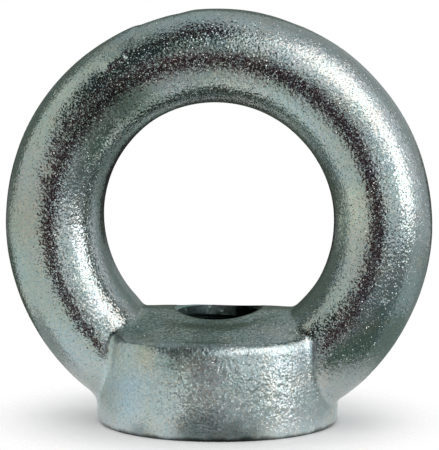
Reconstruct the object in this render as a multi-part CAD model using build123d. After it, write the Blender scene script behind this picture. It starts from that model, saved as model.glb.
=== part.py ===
from build123d import *
import math
import os

# Lifting eye nut: one drop forging, a ring that stands on a round threaded boss.
# Millimetres, +Z up. The origin is the centre of the seat face, on the thread's axis.
# The ring lies in the XZ plane, which is also the plane where the two dies part.

# Thread and bore
thread_diameter = 12.0
thread_pitch = 1.75
countersink_angle = 90.0
seat_countersink_past_thread = 0.5
crest_countersink_past_bore = 0.6

# Ring, as trimmed
ring_outer_diameter = 54.0
eye_diameter = 29.64
eye_rise = 0.6
ring_depth_at_top = 12.2
ring_depth_at_foot = 16.4
trim_land_width = 3.0

# Boss, with the crown that rises from its round collar to the crest, the eye's floor
boss_diameter = 30.6
crown_rise = 3.0
ridge_length = 26.0
ridge_width = 1.0
eye_floor_width = 19.4

# The ring's outline runs into the boss's side at this height above the seat.
leg_foot_height = 3.0

# Rounded edges
collar_edge_radius = 1.3
seat_edge_radius = 0.7
root_radius = 0.9
eye_corner_radius = 1.0

ring_section_count = 13

# Worked out from the sizes above
bore_diameter = thread_diameter - thread_pitch
seat_countersink_diameter = thread_diameter + 2 * seat_countersink_past_thread
crest_countersink_diameter = bore_diameter + 2 * crest_countersink_past_bore
ring_radius = ring_outer_diameter / 2
eye_radius = eye_diameter / 2
boss_radius = boss_diameter / 2
ring_centre_height = leg_foot_height + math.sqrt(ring_radius**2 - boss_radius**2)
eye_height = ring_centre_height + eye_rise
crest_height = eye_height - math.sqrt(eye_radius**2 - (eye_floor_width / 2) ** 2)
collar_height = crest_height - crown_rise
cutter_length = ring_outer_diameter * 2

# The legs end inside the boss, halfway between the seat and the foot of the ring.
leg_end_angle = math.asin((ring_centre_height - leg_foot_height / 2) / ring_radius)


# Distance from the ring's centre to the wall of the eye, which sits a little higher.
def eye_wall_distance(angle):
    along = eye_rise * math.sin(angle)
    across = eye_rise * math.cos(angle)
    return along + math.sqrt(eye_radius**2 - across**2)


# The ring's depth, front to back, grows evenly from the top down to the foot.
def ring_depth(angle):
    drop = (1 - math.sin(angle)) / (1 + math.sin(leg_end_angle))
    return ring_depth_at_top + (ring_depth_at_foot - ring_depth_at_top) * drop


# An oval section of the raw ring, in the plane through the ring's axis at this angle.
# It is thicker than the trimmed ring by what the trim takes off to leave its land.
def ring_section(angle):
    eye_wall = eye_wall_distance(angle)
    thickness = ring_radius - eye_wall
    depth = ring_depth(angle)
    land_share = trim_land_width / depth
    raw_thickness = thickness / math.sqrt(1 - land_share**2)
    outward = Vector(math.cos(angle), 0, math.sin(angle))
    forward = Vector(-math.sin(angle), 0, math.cos(angle))
    centre = Vector(0, 0, ring_centre_height) + outward * (eye_wall + thickness / 2)
    plane = Plane(origin=centre, x_dir=outward, z_dir=forward)
    return plane * Ellipse(raw_thickness / 2, depth / 2)


# The raw ring, open at the foot.
def raw_ring():
    step = (math.pi + 2 * leg_end_angle) / (ring_section_count - 1)
    return loft([ring_section(step * place - leg_end_angle) for place in range(ring_section_count)])


# The raw boss: a round collar, and a crown that narrows evenly to a ridge. The ridge
# stands so far above the crest that punching the eye leaves a land of the set width.
def raw_boss():
    collar = extrude(Circle(boss_radius), collar_height)
    foot = Pos(0, 0, collar_height) * Circle(boss_radius)
    run_to_ridge = boss_radius - ridge_width / 2
    run_to_crest = boss_radius - trim_land_width / 2
    ridge_rise = crown_rise * run_to_ridge / run_to_crest
    ridge = Pos(0, 0, collar_height + ridge_rise) * Ellipse(ridge_length / 2, ridge_width / 2)
    boss = collar + loft([foot, ridge], ruled=True)
    rims = boss.edges().filter_by(GeomType.CIRCLE).group_by(Axis.Z)
    boss = fillet(rims[-1], collar_edge_radius)
    rims = boss.edges().filter_by(GeomType.CIRCLE).group_by(Axis.Z)
    return fillet(rims[0], seat_edge_radius)


# What one die forms: the half in front of the parting plane, its roots rounded.
# The other die forms its mirror image.
def raw_forging():
    ring = split(raw_ring(), bisect_by=Plane.XZ, keep=Keep.TOP)
    boss = split(raw_boss(), bisect_by=Plane.XZ, keep=Keep.TOP)
    front = ring + boss
    front = fillet(new_edges(ring, boss, combined=front), root_radius)
    return front + mirror(front, about=Plane.XZ)


# Half the width of the boss between its two trim lands.
def trimmed_boss_half_width():
    return math.sqrt(boss_radius**2 - (trim_land_width / 2) ** 2)


# The outline that the trimming tool leaves: the ring's circle, run into the boss's sides.
def trim_outline():
    ring = Pos(0, ring_centre_height) * Circle(ring_radius)
    half_width = trimmed_boss_half_width()
    boss = Rectangle(2 * half_width, 2 * collar_height)
    outline = ring + boss
    corners = outline.vertices().filter_by_position(Axis.Y, 0, collar_height)
    outline = fillet(corners, root_radius)
    return Plane.XZ * outline


# The eye as punched: a circle that stops at the crest.
def eye_outline():
    eye = Pos(0, eye_height) * Circle(eye_radius)
    below = Pos(0, crest_height) * Rectangle(cutter_length, cutter_length, align=(Align.CENTER, Align.MAX))
    eye = eye - below
    return Plane.XZ * fillet(eye.vertices(), eye_corner_radius)


# A cone that opens the end of the bore to this diameter at this height.
def countersink(diameter, height, opens_up):
    depth = diameter / 2 / math.tan(math.radians(countersink_angle / 2))
    reach = 1.5
    cone = Cone(0, diameter / 2 * reach, depth * reach, align=(Align.CENTER, Align.CENTER, Align.MIN))
    if opens_up:
        return Pos(0, 0, height - depth) * cone
    return Pos(0, 0, height + depth) * Rot(180, 0, 0) * cone


def eye_nut():
    forging = raw_forging()
    trimmed = forging & extrude(trim_outline(), cutter_length, both=True)
    punched = trimmed - extrude(eye_outline(), cutter_length, both=True)
    bored = punched - Cylinder(bore_diameter / 2, 2 * eye_height)
    nut = bored - countersink(seat_countersink_diameter, 0, opens_up=False)
    return nut - countersink(crest_countersink_diameter, crest_height, opens_up=True)


nut = eye_nut()
nut.label = "eye_nut"
os.makedirs("parts", exist_ok=True)
export_step(nut, "parts/eye_nut.step")
print("eye_nut", round(nut.volume), "cubic mm", len(nut.solids()), "solid", len(nut.faces()), "faces")
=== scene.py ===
import math

import bmesh
import bpy
from mathutils import Matrix, Quaternion, Vector, noise


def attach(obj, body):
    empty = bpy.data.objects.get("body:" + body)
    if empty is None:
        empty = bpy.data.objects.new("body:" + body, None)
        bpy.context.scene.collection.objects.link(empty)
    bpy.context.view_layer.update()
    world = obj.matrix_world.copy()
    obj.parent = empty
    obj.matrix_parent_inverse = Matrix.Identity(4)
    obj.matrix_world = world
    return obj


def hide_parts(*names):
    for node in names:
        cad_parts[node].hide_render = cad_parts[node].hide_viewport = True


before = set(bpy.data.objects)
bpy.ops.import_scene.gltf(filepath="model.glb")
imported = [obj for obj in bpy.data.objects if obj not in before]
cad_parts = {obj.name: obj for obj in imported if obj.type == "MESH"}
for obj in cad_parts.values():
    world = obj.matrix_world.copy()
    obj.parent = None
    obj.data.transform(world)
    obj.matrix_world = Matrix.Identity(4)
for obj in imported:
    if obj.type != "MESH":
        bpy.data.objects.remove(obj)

scene = bpy.context.scene
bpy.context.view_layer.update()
millimetre = 0.001
print("eye nut: frame loaded")

# Places in metres. The roll, in degrees, levels the seat.
cameraSetup = {
    "place": (0.050465, -0.393614, 0.074963),
    "target": (0.000183, 0.0, 0.024994),
    "roll": 0.134,
    "lens": 253.0,
    "sensorWidth": 36,
    "sees": (0.01, 20),
}


def newObject(name, work):
    mesh = bpy.data.meshes.new(name)
    work.to_mesh(mesh)
    work.free()
    thing = bpy.data.objects.new(name, mesh)
    scene.collection.objects.link(thing)
    return thing


# A unit vector. Azimuth 0 is in front (-Y), 90 is on the right (+X).
def direction(azimuth, elevation):
    turn, lift = math.radians(azimuth), math.radians(elevation)
    return Vector((math.sin(turn) * math.cos(lift), -math.cos(turn) * math.cos(lift), math.sin(lift)))


# 0 at low and 1 at high, with a soft start and stop. Low may be the larger one.
def ramp(value, low, high):
    share = min(1.0, max(0.0, (value - low) / (high - low)))
    return share * share * (3 - 2 * share)


def makeCamera():
    data = bpy.data.cameras.new("camera")
    data.lens = cameraSetup["lens"]
    data.sensor_width = cameraSetup["sensorWidth"]
    data.clip_start, data.clip_end = cameraSetup["sees"]
    camera = bpy.data.objects.new("camera", data)
    scene.collection.objects.link(camera)
    place, target = Vector(cameraSetup["place"]), Vector(cameraSetup["target"])
    camera.location = place
    camera.rotation_mode = "QUATERNION"
    aim = (target - place).to_track_quat("-Z", "Y")
    camera.rotation_quaternion = aim @ Quaternion((0, 0, 1), math.radians(cameraSetup["roll"]))
    scene.camera = camera


makeCamera()
scene.view_settings.view_transform = "Standard"
print("eye nut: camera placed")

# The forging as it leaves worn dies, made from the CAD node. Millimetres and degrees, but
# the voxel, the bore's reach, the weld's gap and the seat's band are metres. A pair of numbers
# is where a fade starts and ends.
forging = {
    "voxel": 0.00031,
    "boreReach": 0.0066,
    "boreFacing": -0.4,
    "weldGap": 1e-6,
    "seatBand": 5e-5,
    "seatStock": 0.4,
    # waves on the skin: size, height, shift of the pattern
    "waves": [(9.0, 0.06, (0, 0, 0)), (2.8, 0.012, (7, 3, 1)), (1.1, 0.005, (2, 9, 4))],
    "seatFade": 0.9,
    "boss": {"inside": 9.0, "top": 15.0, "innerFade": (9.0, 14.0)},
    "taper": {
        "start": 0.035, "growth": 0.006, "straightFrom": 12.0, "outside": 16.5,
        "legFade": (5.0, 9.0), "outerFade": (15.4, 16.5),
    },
    "patchMiddle": 0.4,  # the share of a patch's half width that gets the full push
    "shoulder": {
        "azimuth": 2.0, "halfWidth": 36.0, "from": 8.6, "edge": 11.64, "depth": 0.3, "curve": 1.5,
        "outside": 16.0,
    },
    "foot": {
        "azimuth": 10.0, "halfWidth": 30.0, "from": 2.4, "depth": 0.12, "curve": 1.5,
        "innerFade": (12.0, 14.5),
    },
    "crown": {
        "lean": 0.035, "leanFade": (6.5, 9.0), "leftDrop": 0.19, "leftFade": (-3.0, -5.5),
        "rightDrop": 0.04, "rightFade": (4.0, 6.5), "from": 11.5, "sideFade": (9.8, 11.0),
        "facingFade": (0.5, 0.8),
    },
    "softening": 0.5,
    "softCorners": [
        {"place": (-15.2, 0.0, 3.0), "reach": 3.2, "passes": 30},  # where the left leg meets the boss
        {"place": (-15.0, -4.0, 3.6), "reach": 2.4, "passes": 14},
    ],
    # ringHeight and edgeRadius place the lap's edge on the ring, from and to are its ends
    "lap": {
        "ringHeight": 25.25, "edgeRadius": 23.9, "slope": 1.5, "drop": 0.4, "lift": 0.3,
        "from": 117.6, "startFade": 0.9, "to": 123.0, "endFade": 3, "front": -2,
    },
    # place, radius, height: a lump, or a dent where the height is below 0
    "chipReach": 2.5,  # in radii
    "chips": [
        ((21.5, -7.0, 16.2), 0.5, 0.12),
        ((-20.9, -6.9, 31.6), 0.7, -0.08),
        ((-5.6, -14.3, 9.4), 0.9, -0.05),
    ],
    "sharpAngle": 38,
}


def boreFace(face):
    centre = face.calc_center_median()
    outward = Vector((centre.x, centre.y, 0))
    facing = face.normal.dot(outward.normalized())
    return outward.length < forging["boreReach"] and facing < forging["boreFacing"]


# The forging before it is machined: the CAD solid with its bore closed again, and some stock
# under the seat, which is cut flat later.
def forgedBlank():
    blank = bmesh.new()
    blank.from_mesh(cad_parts["eye_nut"].data)
    bmesh.ops.remove_doubles(blank, verts=blank.verts, dist=forging["weldGap"])
    blank.normal_update()
    bore = [face for face in blank.faces if boreFace(face)]
    bmesh.ops.delete(blank, geom=bore, context="FACES")
    rims = [edge for edge in blank.edges if edge.is_boundary]
    bmesh.ops.holes_fill(blank, edges=rims)
    for vert in blank.verts:
        if vert.co.z < forging["seatBand"]:
            vert.co.z -= forging["seatStock"] * millimetre
    bmesh.ops.triangulate(blank, faces=blank.faces)
    bmesh.ops.recalc_face_normals(blank, faces=blank.faces)
    return newObject("blank", blank)


# The mesh that a thing's modifiers make. The thing itself goes.
def applied(thing):
    view = bpy.context.evaluated_depsgraph_get()
    mesh = bpy.data.meshes.new_from_object(thing.evaluated_get(view))
    work = bmesh.new()
    work.from_mesh(mesh)
    bpy.data.meshes.remove(mesh)
    old = thing.data
    bpy.data.objects.remove(thing)
    bpy.data.meshes.remove(old)
    return work


def remeshed(thing, size):
    skin = thing.modifiers.new("skin", "REMESH")
    skin.mode = "VOXEL"
    skin.voxel_size = size
    skin.adaptivity = 0
    return applied(thing)


# The boss narrows upward between the legs, a little faster the higher it goes.
def taperBoss(skin):
    boss, taper = forging["boss"], forging["taper"]
    for vert in skin.verts:
        x, y, z = vert.co * 1000
        out = math.hypot(x, y)
        if out < boss["inside"] or out > taper["outside"] or z > boss["top"]:
            continue
        rise = min(z, taper["straightFrom"])
        inset = taper["start"] * rise + taper["growth"] * rise * rise / 2
        share = ramp(abs(y), *taper["legFade"]) * ramp(out, *boss["innerFade"])
        share *= 1 - ramp(out, *taper["outerFade"])
        vert.co.x -= x / out * inset * share * millimetre
        vert.co.y -= y / out * inset * share * millimetre


# 1 in the middle of a patch on the boss, 0 from its sides out.
def beside(azimuth, patch):
    halfWidth = patch["halfWidth"]
    return 1 - ramp(abs(azimuth - patch["azimuth"]), halfWidth * forging["patchMiddle"], halfWidth)


# The worn die leaves the front of the boss leaning in under its edge and above the seat.
def leanBoss(skin):
    boss, shoulder, foot = forging["boss"], forging["shoulder"], forging["foot"]
    for vert in skin.verts:
        x, y, z = vert.co * 1000
        out = math.hypot(x, y)
        if out < boss["inside"] or out > shoulder["outside"] or y > 0 or z > boss["top"]:
            continue
        azimuth = math.degrees(math.atan2(x, -y))
        push = 0.0
        if z > shoulder["from"]:
            rise = min(1.0, (z - shoulder["from"]) / (shoulder["edge"] - shoulder["from"]))
            push = shoulder["depth"] * rise ** shoulder["curve"]
            push *= beside(azimuth, shoulder) * ramp(out, *boss["innerFade"])
        elif z < foot["from"]:
            push = foot["depth"] * (1 - z / foot["from"]) ** foot["curve"]
            push *= beside(azimuth, foot) * ramp(out, *foot["innerFade"])
        vert.co.x -= x / out * push * millimetre
        vert.co.y -= y / out * push * millimetre


# The crown round the bore leans forward a little, and its crest is low on the left.
def settleCrown(skin):
    crown = forging["crown"]
    facingFrom, halfWidth = crown["facingFade"][0], crown["sideFade"][1]
    skin.normal_update()
    for vert in skin.verts:
        x, y, z = vert.co * 1000
        if z < crown["from"] or abs(x) > halfWidth or vert.normal.z < facingFrom:
            continue
        near = 1 - ramp(math.hypot(x, y), *crown["leanFade"])
        side = 1 - ramp(abs(x), *crown["sideFade"])
        drop = crown["leftDrop"] * ramp(x, *crown["leftFade"])
        drop += crown["rightDrop"] * ramp(x, *crown["rightFade"])
        facing = ramp(vert.normal.z, *crown["facingFade"])
        vert.co.z += (crown["lean"] * y * near - drop * side) * facing * millimetre


# Corners that the worn die or the tumbling left rounder than the rest.
def soften(skin):
    for corner in forging["softCorners"]:
        centre = Vector(corner["place"])
        near = [vert for vert in skin.verts if (vert.co * 1000 - centre).length < corner["reach"]]
        for _ in range(corner["passes"]):
            bmesh.ops.smooth_vert(
                skin, verts=near, factor=forging["softening"],
                use_axis_x=True, use_axis_y=True, use_axis_z=True
            )


# A forging lap on the front of the ring: it rises slowly from the rim and drops off short.
def addLap(skin):
    lap = forging["lap"]
    edge = lap["edgeRadius"]
    skin.normal_update()
    for vert in skin.verts:
        x, y, z = vert.co * 1000
        if y > lap["front"]:
            continue
        across = math.hypot(x, z - lap["ringHeight"])
        along = math.degrees(math.atan2(z - lap["ringHeight"], x))
        foot = edge + lap["slope"] if across > edge else edge - lap["drop"]
        start = ramp(along, lap["from"] - lap["startFade"], lap["from"])
        end = ramp(along, lap["to"], lap["to"] + lap["endFade"])
        vert.co += vert.normal * (lap["lift"] * ramp(across, foot, edge) * (start * (1 - end)) * millimetre)


def addChips(skin):
    for place, radius, lift in forging["chips"]:
        for vert in skin.verts:
            gap = (vert.co * 1000 - Vector(place)).length
            if gap < radius * forging["chipReach"]:
                vert.co += vert.normal * (lift * math.exp(-((gap / radius) ** 2)) * millimetre)


def roughen(skin):
    skin.normal_update()
    moves = []
    for vert in skin.verts:
        place = vert.co * 1000
        fade = min(1.0, max(0.0, place.z / forging["seatFade"]))
        lift = sum(
            noise.noise(place / size + Vector(shift)) * height for size, height, shift in forging["waves"]
        )
        moves.append(vert.normal * (lift * fade * millimetre))
    for vert, move in zip(skin.verts, moves):
        vert.co += move


# Cuts off what lies past this height on the facing side, and gives the edges of the cut.
def cutLevel(work, height, facing):
    everything = list(work.verts) + list(work.edges) + list(work.faces)
    cut = bmesh.ops.bisect_plane(
        work, geom=everything, dist=1e-7, plane_co=(0, 0, height), plane_no=(0, 0, facing), clear_outer=True
    )
    return [part for part in cut["geom_cut"] if isinstance(part, bmesh.types.BMEdge)]


def flatSeat(skin):
    bmesh.ops.holes_fill(skin, edges=cutLevel(skin, 0, -1))


# M12 coarse, right-handed, in metres. The groove comes out at the back of the crown at
# grooveAtBack and stops at topOfGroove, where the crown cuts it away.
thread = {
    "majorDiameter": 0.0120,
    "pitch": 0.00175,
    "flankAngle": 30,
    "boreDiameter": 0.01025,
    "boreClearance": 5e-6,
    "seatCountersink": 0.0130,
    "crestCountersink": 0.01145,
    "crestHeight": 0.014642,
    "stepsPerTurn": 56,
    "turns": 13,
    "turnsBelowCrown": 10,
    "grooveAtBack": 0.0139,
    "topOfGroove": 0.0131,
    # the cutters' own ends and sides
    "bottomOfGroove": -0.001,
    "topOfBore": 0.0165,
    "boreOverlap": 0.0001,
    "cutterSides": 112,
    "coneTip": 0.0002,
    "coneReach": 0.0015,
    # what counts as machined: below this height, and facing the axis rather than up
    "wallTop": 0.0147,
    "wallFacing": 0.3,
    "crownFacing": 0.93,
}


def threadCutter():
    cutter = bmesh.new()
    bore, major = thread["boreDiameter"] / 2, thread["majorDiameter"] / 2
    pitch = thread["pitch"]
    run = (major - bore) * math.tan(math.radians(thread["flankAngle"]))
    rootFlat = pitch / 8
    crestFlat = pitch - rootFlat - 2 * run
    heights = (0, crestFlat, crestFlat + run, crestFlat + run + rootFlat, pitch)
    radii = (bore, bore, major, major, bore)
    # The profile starts on the right, a quarter turn before the back.
    start = thread["grooveAtBack"] - pitch * 0.25 - crestFlat - run - rootFlat / 2
    start -= thread["turnsBelowCrown"] * pitch
    verts = [cutter.verts.new((radius, 0, start + height)) for radius, height in zip(radii, heights)]
    edges = [cutter.edges.new(pair) for pair in zip(verts, verts[1:])]
    steps = thread["stepsPerTurn"] * thread["turns"]
    bmesh.ops.spin(
        cutter, geom=verts + edges, cent=(0, 0, 0), axis=(0, 0, 1),
        dvec=(0, 0, pitch / thread["stepsPerTurn"]), angle=2 * math.pi * thread["turns"], steps=steps
    )
    bmesh.ops.remove_doubles(cutter, verts=cutter.verts, dist=forging["weldGap"])
    for height, facing in ((thread["bottomOfGroove"], -1), (thread["topOfGroove"], 1)):
        bmesh.ops.contextual_create(cutter, geom=cutLevel(cutter, height, facing))
    bmesh.ops.recalc_face_normals(cutter, faces=cutter.faces)
    return newObject("threadCutter", cutter)


# The plain bore above the thread, which runs a hair wide of the thread's crests.
def boreCutter():
    cutter = bmesh.new()
    radius = thread["boreDiameter"] / 2 + thread["boreClearance"]
    low, high = thread["topOfGroove"] - thread["boreOverlap"], thread["topOfBore"]
    bmesh.ops.create_cone(
        cutter, cap_ends=True, cap_tris=False, segments=thread["cutterSides"],
        radius1=radius, radius2=radius, depth=high - low
    )
    bmesh.ops.translate(cutter, verts=cutter.verts, vec=(0, 0, (low + high) / 2))
    bmesh.ops.recalc_face_normals(cutter, faces=cutter.faces)
    return newObject("boreCutter", cutter)


# A 90 degree cone that opens one end of the bore, and stands out of the metal by its reach.
def countersinkCutter(name, diameter, height, opensUp):
    cutter = bmesh.new()
    tip, reach = thread["coneTip"], thread["coneReach"]
    mouth = diameter / 2 + reach
    bmesh.ops.create_cone(
        cutter, cap_ends=True, cap_tris=False, segments=thread["cutterSides"],
        radius1=tip, radius2=mouth, depth=mouth - tip
    )
    bmesh.ops.translate(cutter, verts=cutter.verts, vec=(0, 0, reach - (mouth - tip) / 2))
    if not opensUp:
        upsideDown = Matrix.Rotation(math.pi, 3, "X")
        bmesh.ops.rotate(cutter, verts=cutter.verts, cent=(0, 0, 0), matrix=upsideDown)
    bmesh.ops.translate(cutter, verts=cutter.verts, vec=(0, 0, height))
    bmesh.ops.recalc_face_normals(cutter, faces=cutter.faces)
    return newObject(name, cutter)


def cutAway(thing, cutter):
    cut = thing.modifiers.new("cut", "BOOLEAN")
    cut.operation = "DIFFERENCE"
    cut.solver = "MANIFOLD"
    cut.object = cutter
    work = applied(thing)
    bpy.data.objects.remove(cutter)
    return newObject("cutForging", work)


skin = remeshed(forgedBlank(), forging["voxel"])
print("eye nut: skin of", len(skin.verts), "points")
for shapeSkin in (taperBoss, leanBoss, settleCrown, soften, addLap, addChips, roughen, flatSeat):
    shapeSkin(skin)
body = newObject("forging", skin)
for cutter in (
    threadCutter(),
    boreCutter(),
    countersinkCutter("crestCutter", thread["crestCountersink"], thread["crestHeight"], True),
    countersinkCutter("seatCutter", thread["seatCountersink"], 0, False),
):
    body = cutAway(body, cutter)
body.name = "eyeNutForging"
print("eye nut: machined,", len(body.data.vertices), "points", len(body.data.polygons), "faces")


def newMaterial(name):
    material = bpy.data.materials.new(name)
    material.use_nodes = True
    material.node_tree.nodes.clear()
    return material, material.node_tree


# An empty node group, with the nodes that hold its inputs and outputs.
def newGroup(name, inputs, outputs):
    group = bpy.data.node_groups.new(name, "ShaderNodeTree")
    for label, kind, value in inputs:
        socket = group.interface.new_socket(label, in_out="INPUT", socket_type="NodeSocket" + kind)
        if value is not None:
            socket.default_value = value
    for label, kind in outputs:
        group.interface.new_socket(label, in_out="OUTPUT", socket_type="NodeSocket" + kind)
    return group, group.nodes.new("NodeGroupInput").outputs, group.nodes.new("NodeGroupOutput").inputs


# Links a socket to this one, or sets this one to a plain value.
def feed(tree, socket, value):
    if isinstance(value, bpy.types.NodeSocket):
        tree.links.new(value, socket)
    else:
        socket.default_value = value


# A node with its named inputs fed: an underscore in a name stands for a space.
def addNode(tree, kind, **values):
    node = tree.nodes.new("ShaderNode" + kind)
    for name, value in values.items():
        feed(tree, node.inputs[name.replace("_", " ")], value)
    return node


def addMath(tree, operation, *values):
    node = tree.nodes.new("ShaderNodeMath")
    node.operation = operation
    for socket, value in zip(node.inputs, values):
        feed(tree, socket, value)
    return node.outputs[0]


def addVectorMath(tree, operation, *values):
    node = tree.nodes.new("ShaderNodeVectorMath")
    node.operation = operation
    sockets = (node.inputs[0], node.inputs["Scale"]) if operation == "SCALE" else node.inputs
    for socket, value in zip(sockets, values):
        feed(tree, socket, value)
    return node.outputs["Value" if operation in ("DISTANCE", "DOT_PRODUCT", "LENGTH") else "Vector"]


# The value, spread from one span of numbers on to another and kept inside it.
def addRange(tree, value, span, onto=(0, 1), curve="LINEAR"):
    node = addNode(
        tree, "MapRange", Value=value, From_Min=span[0], From_Max=span[1], To_Min=onto[0], To_Max=onto[1]
    )
    node.interpolation_type = curve
    return node.outputs["Result"]


# A mix of two colours.
def addMix(tree, amount, first, second, blend="MIX"):
    node = tree.nodes.new("ShaderNodeMix")
    node.data_type = "RGBA"
    node.blend_type = blend
    feed(tree, node.inputs["Factor"], amount)
    feed(tree, node.inputs[6], first)
    feed(tree, node.inputs[7], second)
    return node.outputs[2]


def addGroup(tree, group, **values):
    node = addNode(tree, "Group")
    node.node_tree = group
    for name, value in values.items():
        feed(tree, node.inputs[name.replace("_", " ")], value)
    return node.outputs


# Shot-blast grain: a field of small dimples, with finer grit on it. Height runs from 0 to 1.
def blastGrainGroup():
    group, given, out = newGroup(
        "blastGrain",
        [("Vector", "Vector", None), ("Scale", "Float", 2600.0), ("Grit", "Float", 0.3)],
        [("Height", "Float")],
    )
    place = {"Vector": given["Vector"], "Scale": given["Scale"]}
    dimple = addNode(group, "TexNoise", Detail=1.5, Roughness=0.5, **place)
    cells = addNode(group, "TexVoronoi", **place)
    mix = group.nodes.new("ShaderNodeMix")
    feed(group, mix.inputs["Factor"], given["Grit"])
    feed(group, mix.inputs[2], dimple.outputs["Fac"])
    feed(group, mix.inputs[3], cells.outputs["Distance"])
    feed(group, out["Height"], mix.outputs[0])
    return group


# Facets: small flats in the zinc, each tipped its own way from the normal under it, most a
# little and a few a lot. Speck is a number from 0 to 1, the same all over one flat.
def facetsGroup():
    group, given, out = newGroup(
        "facets",
        [("Vector", "Vector", None), ("Under", "Vector", None), ("Scale", "Float", 4000.0),
         ("Tip", "Float", 0.5), ("Base Tip", "Float", 0.15), ("Rarity", "Float", 4.0)],
        [("Normal", "Vector"), ("Speck", "Float")],
    )
    cells = addNode(group, "TexVoronoi", Vector=given["Vector"], Scale=given["Scale"])
    pick = addNode(group, "TexWhiteNoise", Vector=cells.outputs["Position"])
    few = addMath(group, "POWER", pick.outputs["Value"], given["Rarity"])
    amount = addMath(group, "MULTIPLY_ADD", few, given["Tip"], given["Base Tip"])
    centred = addVectorMath(group, "SUBTRACT", cells.outputs["Color"], (0.5, 0.5, 0.5))
    tip = addVectorMath(group, "SCALE", centred, amount)
    tipped = addVectorMath(group, "ADD", given["Under"], tip)
    feed(group, out["Normal"], addVectorMath(group, "NORMALIZE", tipped))
    feed(group, out["Speck"], pick.outputs["Value"])
    return group


# Passivated zinc: patches of green, blue, grey and straw, flecks, and a few rust freckles.
tintColours = {
    "green": (0.505, 0.620, 0.590, 1),
    "blue": (0.515, 0.600, 0.655, 1),
    "grey": (0.560, 0.605, 0.605, 1),
    "straw": (0.615, 0.605, 0.545, 1),
    "coldFleck": (0.46, 0.54, 0.55, 1),
    "warmFleck": (0.64, 0.62, 0.57, 1),
    "rust": (0.62, 0.50, 0.42, 1),
}
# The noises that mix them: each turns from one colour to the other over its span.
tintNoises = {
    "cool": {"detail": 4, "shift": (0, 0, 0), "span": (0.42, 0.62)},
    "warm": {"detail": 4, "shift": (0.3, 0.1, 0.2), "span": (0.46, 0.66)},
    "warmth": {"detail": 3, "shift": (0.7, 0.4, 0.5), "span": (0.38, 0.62)},
    "fleck": {"detail": 1, "shift": (0, 0, 0), "span": (0.35, 0.65)},
    "rust": {"detail": 2, "shift": (0.5, 0.9, 0.1), "span": (0.70, 0.76)},
}


def zincTintGroup():
    group, given, out = newGroup(
        "zincTint",
        [("Vector", "Vector", None), ("Patch Scale", "Float", 260.0), ("Fleck Scale", "Float", 2500.0),
         ("Fleck", "Float", 0.5), ("Rust Scale", "Float", 1700.0)],
        [("Color", "Color")],
    )

    def patchy(name, scaleName="Patch Scale"):
        kind = tintNoises[name]
        moved = addVectorMath(group, "ADD", given["Vector"], kind["shift"])
        texture = addNode(group, "TexNoise", Vector=moved, Scale=given[scaleName], Detail=kind["detail"])
        return addRange(group, texture.outputs["Fac"], kind["span"], curve="SMOOTHSTEP")

    colours = tintColours
    cool = addMix(group, patchy("cool"), colours["green"], colours["blue"])
    warm = addMix(group, patchy("warm"), colours["grey"], colours["straw"])
    patches = addMix(group, patchy("warmth"), cool, warm)
    flecks = addMix(group, patchy("fleck", "Fleck Scale"), colours["coldFleck"], colours["warmFleck"])
    tint = addMix(group, given["Fleck"], patches, flecks)
    rusty = patchy("rust", "Rust Scale")
    feed(group, out["Color"], addMix(group, rusty, tint, colours["rust"], "MULTIPLY"))
    return group


# A blot round one point, with a soft and ragged edge: 1 at the middle, 0 outside.
blotEdge = {"scale": 700, "detail": 5, "fade": (0.3, 1.2)}


def blotGroup():
    group, given, out = newGroup(
        "blot",
        [("Vector", "Vector", None), ("Centre", "Vector", None),
         ("Radius", "Float", 0.002), ("Ragged", "Float", 0.5)],
        [("Mask", "Float")],
    )
    gap = addVectorMath(group, "DISTANCE", given["Vector"], given["Centre"])
    share = addMath(group, "DIVIDE", gap, given["Radius"])
    edge = addNode(
        group, "TexNoise", Vector=given["Vector"], Scale=blotEdge["scale"], Detail=blotEdge["detail"]
    )
    ragged = addMath(group, "MULTIPLY_ADD", edge.outputs["Fac"], given["Ragged"], share)
    feed(group, out["Mask"], addRange(group, ragged, blotEdge["fade"], (1, 0), "SMOOTHSTEP"))
    return group


# Masks of 0 to 1: Inner where the surface looks in at the eye's middle, Seat Edge close over
# the seat, with a ragged top, and Boss inside the boss's radius and under its edge. Seat Edge
# carries painted shadow, and Inner partly painted shade.
maskEdges = {"raggedTopScale": 380, "raggedTopDetail": 4, "raggedTopMiddle": 0.62, "rimFade": 0.0004, "brimFade": 0.0005}


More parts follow.
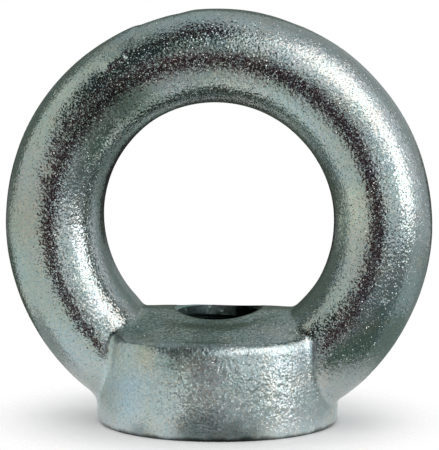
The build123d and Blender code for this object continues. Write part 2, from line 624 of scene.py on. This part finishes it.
def placeMasksGroup():
    group, given, out = newGroup(
        "placeMasks",
        [("Vector", "Vector", None), ("Eye Height", "Float", 0.02585), ("Inner From", "Float", 0.90),
         ("Inner To", "Float", 0.985), ("Edge From", "Float", 0.0003), ("Edge To", "Float", 0.0009),
         ("Edge Ragged", "Float", 0.0016), ("Boss Radius", "Float", 0.0153),
         ("Boss Height", "Float", 0.0116)],
        [("Inner", "Float"), ("Seat Edge", "Float"), ("Boss", "Float")],
    )
    place = addNode(group, "SeparateXYZ", Vector=given["Vector"]).outputs

    up = addMath(group, "SUBTRACT", given["Eye Height"], place["Z"])
    across = addMath(group, "MULTIPLY", place["X"], -1)
    inward = addVectorMath(group, "NORMALIZE", addNode(group, "CombineXYZ", X=across, Z=up).outputs[0])
    facing = addVectorMath(group, "DOT_PRODUCT", inward, addNode(group, "NewGeometry").outputs["Normal"])
    inner = addRange(group, facing, (given["Inner From"], given["Inner To"]), curve="SMOOTHSTEP")
    feed(group, out["Inner"], inner)

    raggedTop = addNode(
        group, "TexNoise", Vector=given["Vector"], Scale=maskEdges["raggedTopScale"],
        Detail=maskEdges["raggedTopDetail"]
    ).outputs["Fac"]
    centred = addMath(group, "SUBTRACT", raggedTop, maskEdges["raggedTopMiddle"])
    lowered = addMath(group, "MULTIPLY", centred, given["Edge Ragged"])
    height = addMath(group, "SUBTRACT", place["Z"], lowered)
    edge = addRange(group, height, (given["Edge From"], given["Edge To"]), (1, 0), "SMOOTHSTEP")
    feed(group, out["Seat Edge"], edge)

    flat = addNode(group, "CombineXYZ", X=place["X"], Y=place["Y"]).outputs[0]
    reach = addVectorMath(group, "LENGTH", flat)
    rim, brim = given["Boss Radius"], given["Boss Height"]
    pastRim = addMath(group, "ADD", rim, maskEdges["rimFade"])
    pastBrim = addMath(group, "ADD", brim, maskEdges["brimFade"])
    within = addRange(group, reach, (rim, pastRim), (1, 0))
    under = addRange(group, place["Z"], (brim, pastBrim), (1, 0))
    feed(group, out["Boss"], addMath(group, "MULTIPLY", within, under))
    return group


placeMasks = placeMasksGroup()
blastGrain = blastGrainGroup()
facets = facetsGroup()
zincTint = zincTintGroup()
blot = blotGroup()

# Places, radii and depths are metres, scales are per metre. A shade multiplies the tint.
zincFinish = {
    "grainScale": 2700,
    "grainDepth": 0.00006,
    "grit": 0.35,
    "facetScale": 5200,
    "facetTip": 0.27,
    "facetBaseTip": 0.09,
    "glintScale": 9000,
    "glintTip": 1.4,
    "glintRarity": 9.0,  # the higher, the rarer
    "roughness": 0.15,
    "fleck": 0.58,
    "darkSpecksFrom": (0.90, 0.96),  # flats with a speck over this are darkened
    "darkSpeckShade": (0.92, 0.92, 0.92, 1),
    # darker on the eye's inner wall: partly a duller sheared wall, partly painted shade
    "innerWallAndPaintedShade": (0.52, 0.58, 0.55, 1),
    # painted shadow over the seat
    "seatEdgePaintedShadow": (0.22, 0.23, 0.22, 1),
    "bossTip": -0.13,  # added to facetTip on the boss
    "bossRoughness": 0.30,
    # painted light: the boss lighter than the ring
    "bossPaintedLight": (1.16, 1.19, 1.22, 1),
    "wormScale": 1100,
    "wormDepth": 0.00013,
    "wormGrit": 0.1,
    "wormMiddle": (0.0078, -0.0130, 0.0055),
    "wormRadius": 0.0085,
    "crownMiddle": (0.0, -0.0085, 0.0132),
    "crownRadius": 0.0170,
    "crownWorms": 0.9,  # the crown's ripples beside the boss's
    "crownDarkSpecksFrom": (0.74, 0.78),
    "crownDarkSpeckShade": (0.66, 0.72, 0.70, 1),
    # painted glints on the crown's flats
    "crownPaintedGlintsFrom": (0.07, 0.03),  # flats with a speck under this are bright
    "crownPaintedGlintShade": (1.55, 1.50, 1.46, 1),
    # patches: middle, radius, shade. A few are tints in the passivation or mottling on the crown; the rest
    # are painted light and painted shade
    "tintsAndPaintedLight": [
        # painted light on the top of the ring
        ((-0.0040, -0.0020, 0.0522), 0.0140, (1.30, 1.28, 1.30, 1)),
        # mottled patches on the crown
        ((-0.0095, -0.0075, 0.0133), 0.0038, (0.72, 0.82, 0.80, 1)),
        ((0.0035, -0.0100, 0.0128), 0.0032, (0.90, 0.95, 0.95, 1)),
        ((-0.0020, -0.0088, 0.0131), 0.0020, (1.15, 1.12, 1.08, 1)),
        ((0.0098, -0.0085, 0.0131), 0.0032, (1.20, 1.20, 1.18, 1)),
        # tints in the passivation on the left leg and the boss
        ((-0.0238, -0.0064, 0.0262), 0.0062, (1.02, 0.99, 0.93, 1)),
        ((-0.0255, -0.0050, 0.0200), 0.0050, (0.90, 1.00, 1.03, 1)),
        ((-0.0098, -0.0117, 0.0050), 0.0060, (0.92, 0.99, 1.08, 1)),
        ((-0.0076, -0.0130, 0.0103), 0.0032, (1.00, 0.90, 0.80, 1)),
        # painted light on the bands that look into the eye, right and top
        ((0.0176, -0.0064, 0.0270), 0.0070, (1.38, 1.32, 1.24, 1)),
        ((0.0030, -0.0056, 0.0436), 0.0060, (1.12, 1.05, 0.98, 1)),
        # painted light on the middle of the boss
        ((0.0004, -0.0152, 0.0060), 0.0070, (1.42, 1.40, 1.38, 1)),
        # painted shadow round the boss's foot, over the seat
        ((0.0018, -0.0150, -0.0010), 0.0080, (0.15, 0.17, 0.16, 1)),
        ((-0.0012, -0.0150, 0.0010), 0.0040, (0.62, 0.66, 0.65, 1)),
        ((0.0056, -0.0145, 0.0002), 0.0042, (0.55, 0.60, 0.59, 1)),
        ((-0.0080, -0.0130, -0.0008), 0.0040, (0.45, 0.48, 0.47, 1)),
        # a painted highlight on the right of the boss
        ((0.0090, -0.0124, 0.0064), 0.0050, (1.12, 1.12, 1.12, 1)),
        # a lighter patch on the boss
        ((-0.0020, -0.0150, 0.0089), 0.0018, (1.34, 1.32, 1.28, 1)),
        # a bluish tint low on the right leg
        ((0.0240, -0.0060, 0.0170), 0.0060, (0.94, 1.00, 1.05, 1)),
        # painted shade on the dark reflected band at the upper left of the ring, with painted light on its
        # outer edge
        ((-0.0130, -0.0060, 0.0398), 0.0062, (0.60, 0.64, 0.60, 1)),
        ((-0.0108, -0.0058, 0.0416), 0.0045, (0.78, 0.80, 0.78, 1)),
        ((-0.0200, -0.0045, 0.0432), 0.0042, (1.16, 1.16, 1.16, 1)),
        ((-0.0098, -0.0056, 0.0410), 0.0046, (0.70, 0.76, 0.71, 1)),
        ((-0.0158, -0.0060, 0.0366), 0.0042, (0.82, 0.86, 0.82, 1)),
        # painted shade under the left of the boss's top edge
        ((-0.0042, -0.0150, 0.0098), 0.0034, (0.70, 0.73, 0.73, 1)),
        # painted shade on the top of the eye's inner wall
        ((0.0000, -0.0030, 0.0404), 0.0060, (0.80, 0.82, 0.81, 1)),
        # painted shade on the dark band of the right leg
        ((0.0216, -0.0070, 0.0256), 0.0060, (0.80, 0.83, 0.84, 1)),
    ],
}


def addBlot(tree, here, middle, radius):
    return addGroup(tree, blot, Vector=here, Centre=middle, Radius=radius)["Mask"]


def addSpecks(tree, speck, span, place):
    return addMath(tree, "MULTIPLY", addRange(tree, speck, span), place)


# The skin: zinc in small flats over blast grain, some of them glinting, with worm-like ripples
# on the front of the boss and a mottled crown with painted glints. Its colour also carries painted light
# and shade.
def shotBlastedZinc():
    finish = zincFinish
    material, tree = newMaterial("zincPlatedForging")
    here = addNode(tree, "TexCoord").outputs["Object"]
    masks = addGroup(tree, placeMasks, Vector=here)
    worms = addGroup(tree, blastGrain, Vector=here, Scale=finish["wormScale"], Grit=finish["wormGrit"])
    grain = addGroup(tree, blastGrain, Vector=here, Scale=finish["grainScale"], Grit=finish["grit"])
    mottled = addBlot(tree, here, finish["crownMiddle"], finish["crownRadius"])

    flats = addGroup(
        tree, facets, Vector=here, Under=addNode(tree, "NewGeometry").outputs["Normal"],
        Scale=finish["facetScale"], Base_Tip=finish["facetBaseTip"],
        Tip=addMath(tree, "MULTIPLY_ADD", masks["Boss"], finish["bossTip"], finish["facetTip"])
    )
    glints = addGroup(
        tree, facets, Vector=here, Under=flats["Normal"], Scale=finish["glintScale"],
        Tip=finish["glintTip"], Base_Tip=0.0, Rarity=finish["glintRarity"]
    )
    grainy = addNode(
        tree, "Bump", Strength=1, Distance=finish["grainDepth"],
        Height=grain["Height"], Normal=glints["Normal"]
    )
    wormy = addBlot(tree, here, finish["wormMiddle"], finish["wormRadius"])
    rippled = addMath(tree, "MAXIMUM", wormy, addMath(tree, "MULTIPLY", mottled, finish["crownWorms"]))
    wavy = addNode(
        tree, "Bump", Strength=1, Distance=finish["wormDepth"],
        Height=addMath(tree, "MULTIPLY", worms["Height"], rippled), Normal=grainy.outputs["Normal"]
    )

    shades = [
        # darker specks on some of the crown's flats
        (addSpecks(tree, flats["Speck"], finish["crownDarkSpecksFrom"], mottled), finish["crownDarkSpeckShade"]),
        # painted glints on the crown
        (addSpecks(tree, flats["Speck"], finish["crownPaintedGlintsFrom"], mottled), finish["crownPaintedGlintShade"]),
        (addRange(tree, flats["Speck"], finish["darkSpecksFrom"]), finish["darkSpeckShade"]),
        # painted light: the boss lighter than the ring
        (masks["Boss"], finish["bossPaintedLight"]),
        # darker on the eye's inner wall: partly a duller sheared wall, partly painted shade
        (masks["Inner"], finish["innerWallAndPaintedShade"]),
        # painted shadow over the seat
        (masks["Seat Edge"], finish["seatEdgePaintedShadow"]),
    ]
    for middle, radius, shade in finish["tintsAndPaintedLight"]:
        shades.append((addBlot(tree, here, middle, radius), shade))
    colour = addGroup(tree, zincTint, Vector=here, Fleck=finish["fleck"])["Color"]
    for mask, shade in shades:
        colour = addMix(tree, mask, colour, shade, "MULTIPLY")

    dulled = addRange(tree, masks["Boss"], (0, 1), (finish["roughness"], finish["bossRoughness"]))
    shader = addNode(
        tree, "BsdfPrincipled", Metallic=1.0, Base_Color=colour, Roughness=dulled,
        Normal=wavy.outputs["Normal"]
    )
    addNode(tree, "OutputMaterial", Surface=shader.outputs["BSDF"])
    return material


# The tapped thread and its countersinks: cut after blasting, so smoother than the skin. Painted
# shadow blackens the thread deep down and on the right, and painted shade darkens the crest countersink.
# Spans are metres.
threadFinish = {
    "cutShade": (1.12, 1.28, 1.21, 1),
    "rimPaintedShade": (0.42, 0.48, 0.45, 1),
    "rimFrom": (0.0139, 0.0142),
    "paintedShadowShade": (0.025, 0.03, 0.03, 1),
    "paintedShadowFrom": (0.0128, 0.0121),
    "paintedShadowBeside": (0.0002, 0.0019),
    "roughness": 0.32,
    "fleck": 0.1,
    "glintTip": 0.45,
    "glintBaseTip": 0.12,
    "glintRarity": 5.0,
}


def machinedZinc():
    finish = threadFinish
    material, tree = newMaterial("zincPlatedThread")
    here = addNode(tree, "TexCoord").outputs["Object"]
    place = addNode(tree, "SeparateXYZ", Vector=here).outputs
    tint = addGroup(tree, zincTint, Vector=here, Fleck=finish["fleck"])["Color"]
    colour = addMix(tree, 1, tint, finish["cutShade"], "MULTIPLY")
    # painted shade darkens the crest countersink
    high = addRange(tree, place["Z"], finish["rimFrom"])
    colour = addMix(tree, high, colour, finish["rimPaintedShade"], "MULTIPLY")
    # painted shadow: black deep in the bore and on its right side
    deep = addRange(tree, place["Z"], finish["paintedShadowFrom"])
    onRight = addRange(tree, place["X"], finish["paintedShadowBeside"])
    shadowed = addMath(tree, "MAXIMUM", deep, onRight)
    colour = addMix(tree, shadowed, colour, finish["paintedShadowShade"], "MULTIPLY")
    glints = addGroup(
        tree, facets, Vector=here, Under=addNode(tree, "NewGeometry").outputs["Normal"],
        Scale=zincFinish["facetScale"], Tip=finish["glintTip"], Base_Tip=finish["glintBaseTip"],
        Rarity=finish["glintRarity"]
    )
    shader = addNode(
        tree, "BsdfPrincipled", Metallic=1.0, Base_Color=colour, Roughness=finish["roughness"],
        Normal=glints["Normal"]
    )
    addNode(tree, "OutputMaterial", Surface=shader.outputs["BSDF"])
    return material


# The faces that the drill, the tap and the countersinks left.
def isMachined(polygon):
    centre = polygon.center
    outward = Vector((centre.x, centre.y, 0))
    if outward.length > forging["boreReach"] or centre.z > thread["wallTop"]:
        return False
    facing = polygon.normal.dot(outward.normalized())
    return facing < thread["wallFacing"] and polygon.normal.z < thread["crownFacing"]


body.data.materials.append(shotBlastedZinc())
body.data.materials.append(machinedZinc())
for polygon in body.data.polygons:
    polygon.use_smooth = True
    polygon.material_index = 1 if isMachined(polygon) else 0
body.data.set_sharp_from_angle(angle=math.radians(forging["sharpAngle"]))
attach(body, "root")
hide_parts("eye_nut")
print("eye nut: finished in zinc")

# A disc of pale card, in metres, that fades into the white behind it. It takes the shadow.
paleFloor = {
    "radius": 0.060,
    "sides": 128,
    "middle": (-0.001, 0.001, 0),
    "fade": (0.0156, 0.034),
    "colour": (0.97, 0.97, 0.97, 1),
}


def makeFloor():
    work = bmesh.new()
    bmesh.ops.create_circle(work, cap_ends=True, segments=paleFloor["sides"], radius=paleFloor["radius"])
    bmesh.ops.translate(work, verts=work.verts, vec=paleFloor["middle"])
    floor = newObject("floor", work)
    material, tree = newMaterial("paleFloor")
    here = addNode(tree, "TexCoord").outputs["Object"]
    reach = addVectorMath(tree, "DISTANCE", here, paleFloor["middle"])
    mix = addNode(tree, "MixShader", Fac=addRange(tree, reach, paleFloor["fade"], curve="SMOOTHERSTEP"))
    feed(tree, mix.inputs[1], addNode(tree, "BsdfDiffuse", Color=paleFloor["colour"]).outputs["BSDF"])
    feed(tree, mix.inputs[2], addNode(tree, "BsdfTransparent").outputs["BSDF"])
    addNode(tree, "OutputMaterial", Surface=mix.outputs["Shader"])
    floor.data.materials.append(material)


# White all round, at strength 1: it lights the floor and is what the camera sees behind.
def makeWorld():
    world = bpy.data.worlds.new("studioWorld")
    scene.world = world
    world.use_nodes = True
    sky = world.node_tree.nodes["Background"]
    sky.inputs["Color"].default_value = (1, 1, 1, 1)
    sky.inputs["Strength"].default_value = 1


# The dark tent round the object and the cloth cards hung in it, which only the metal sees.
# A colour is also the brightness. Angles are degrees, reaches and radii metres.
tent = {
    "radius": 1.3,
    "colour": (0.022, 0.014, 0.017),
    "cardRadius": 1.2,
    "degreesPerStep": 8,
    "dimmest": 0.01,
    "weldGap": 1e-5,
    # hung cards: azimuths, elevations, colour
    "cards": {
        "backLeftCard": ((-180, -108), (0, 36), (0.12, 0.15, 0.13)),
        "backLeftHighCard": ((-180, -108), (36, 66), (0.31, 0.37, 0.36)),
        "leftRimCard": ((-108, -30), (0, 12), (0.55, 0.56, 0.54)),
        "leftLowCard": ((-108, -45), (12, 24), (0.56, 0.65, 0.59)),
        "leftMidCard": ((-108, -60), (24, 50), (0.56, 0.6, 0.54)),
        "leftHighCard": ((-108, -60), (50, 66), (0.17, 0.22, 0.2)),
        "leftShadeCard": ((-60, -15), (24, 50), (0.02, 0.03, 0.03)),
        "frontShadeCard": ((-30, 15), (0, 12), (0.05, 0.02, 0.03)),
        "frontLowCard": ((-15, 30), (12, 24), (0.26, 0.28, 0.27)),
        "frontEdgeCard": ((-15, 0), (24, 50), (0.17, 0.24, 0.22)),
        "frontCard": ((0, 45), (24, 36), (0.83, 0.9, 0.91)),
        "frontUpCard": ((0, 30), (36, 50), (0.83, 0.84, 0.86)),
        "frontHighCard": ((0, 30), (50, 66), (0.68, 0.82, 0.8)),
        "keyFootCard": ((15, 60), (0, 12), (0.87, 0.94, 0.94)),
        "keyLeftCard": ((30, 60), (12, 24), (0.34, 0.45, 0.48)),
        "keySideCard": ((60, 90), (0, 24), (2.32, 2.3, 2.28)),
        "keyCard": ((45, 90), (24, 36), (1.7, 1.67, 1.66)),
        "keyUpCard": ((30, 90), (36, 50), (2.05, 1.95, 1.9)),
        "keyHighCard": ((30, 90), (50, 66), (1.81, 1.74, 1.7)),
        "rightCard": ((90, 120), (0, 66), (0.73, 0.77, 0.82)),
        "backRightCard": ((120, 180), (0, 66), (0.36, 0.4, 0.4)),
        "topBackLeftCard": ((-180, -120), (66, 90), (0.37, 0.44, 0.47)),
        "topRightCard": ((0, 180), (66, 90), (0.5, 0.55, 0.56)),
    },
    # cards that lie just under the table's level: azimuths, reaches, colour
    "tableLevel": -0.001,
    "tableCards": {
        "tableLeftNearCard": ((-80, -20), (0.0165, 0.05), (0.67, 0.77, 0.77)),
        "tableLeftCard": ((-114, -20), (0.05, 0.15), (0.59, 0.66, 0.62)),
        "tableLeftFarCard": ((-122, -20), (0.15, 1.2), (0.52, 0.57, 0.51)),
        "tableBackFarCard": ((-150, -122), (0.15, 1.2), (0.15, 0.17, 0.16)),
        "tableFrontNearCard": ((-20, 20), (0.0165, 0.085), (0.34, 0.37, 0.36)),
        "tableFrontCard": ((-20, 20), (0.085, 0.15), (0.08, 0.06, 0.07)),
        "tableRightNearCard": ((20, 80), (0.0165, 0.05), (0.08, 0.12, 0.1)),
        "tableRightCard": ((20, 80), (0.05, 0.15), (0.15, 0.17, 0.17)),
        "tableRightFarCard": ((20, 150), (0.15, 1.2), (0.44, 0.48, 0.49)),
        "tableSideNearCard": ((80, 180), (0.0165, 0.05), (0.17, 0.22, 0.2)),
        "tableSideCard": ((80, 120), (0.05, 0.15), (0.36, 0.41, 0.41)),
        "tableSideBackCard": ((120, 160), (0.05, 0.15), (0.23, 0.27, 0.26)),
        "tableBackNearCard": ((-150, -80), (0.0165, 0.05), (0.30, 0.34, 0.33)),
        "tableBackCard": ((-180, -120), (0.05, 0.15), (0.08, 0.10, 0.08)),
        "tableFarRimCard": ((150, 180), (0.15, 1.2), (0.07, 0.08, 0.07)),
    },
}


def cardCloth(name, colour):
    strength = max(*colour, tent["dimmest"])
    material, tree = newMaterial(name)
    glow = addNode(tree, "Emission", Color=(*[part / strength for part in colour], 1), Strength=strength)
    addNode(tree, "OutputMaterial", Surface=glow.outputs["Emission"])
    material.cycles.emission_sampling = "NONE"
    return material


def stepsOver(span):
    return max(2, round(span / tent["degreesPerStep"]))


# A profile of points at the first azimuth, spun about the vertical to the second.
def makeCard(name, azimuths, profile, colour):
    work = bmesh.new()
    rim = [work.verts.new(point) for point in profile]
    edges = [work.edges.new(pair) for pair in zip(rim, rim[1:])]
    turn = azimuths[1] - azimuths[0]
    bmesh.ops.spin(
        work, geom=rim + edges, cent=(0, 0, 0), axis=(0, 0, 1), dvec=(0, 0, 0),
        angle=math.radians(turn), steps=stepsOver(turn), use_merge=turn == 360
    )
    bmesh.ops.remove_doubles(work, verts=work.verts, dist=tent["weldGap"])
    card = newObject(name, work)
    card.data.materials.append(cardCloth(card.name + "Cloth", colour))
    card.visible_camera = False
    card.visible_diffuse = False
    card.visible_shadow = False
    card.visible_transmission = False


def hangCard(name, azimuths, elevations, colour, radius):
    low, high = elevations
    steps = stepsOver(high - low)
    heights = [low + (high - low) * step / steps for step in range(steps + 1)]
    profile = [direction(azimuths[0], height) * radius for height in heights]
    makeCard(name, azimuths, profile, colour)


def layCard(name, azimuths, reaches, colour):
    level = Vector((0, 0, tent["tableLevel"]))
    makeCard(name, azimuths, [direction(azimuths[0], 0) * reach + level for reach in reaches], colour)


makeFloor()
makeWorld()
hangCard("tent", (-180, 180), (-90, 90), tent["colour"], tent["radius"])
for name, (azimuths, elevations, colour) in tent["cards"].items():
    hangCard(name, azimuths, elevations, colour, tent["cardRadius"])
for name, (azimuths, reaches, colour) in tent["tableCards"].items():
    layCard(name, azimuths, reaches, colour)
print("eye nut: studio lit")
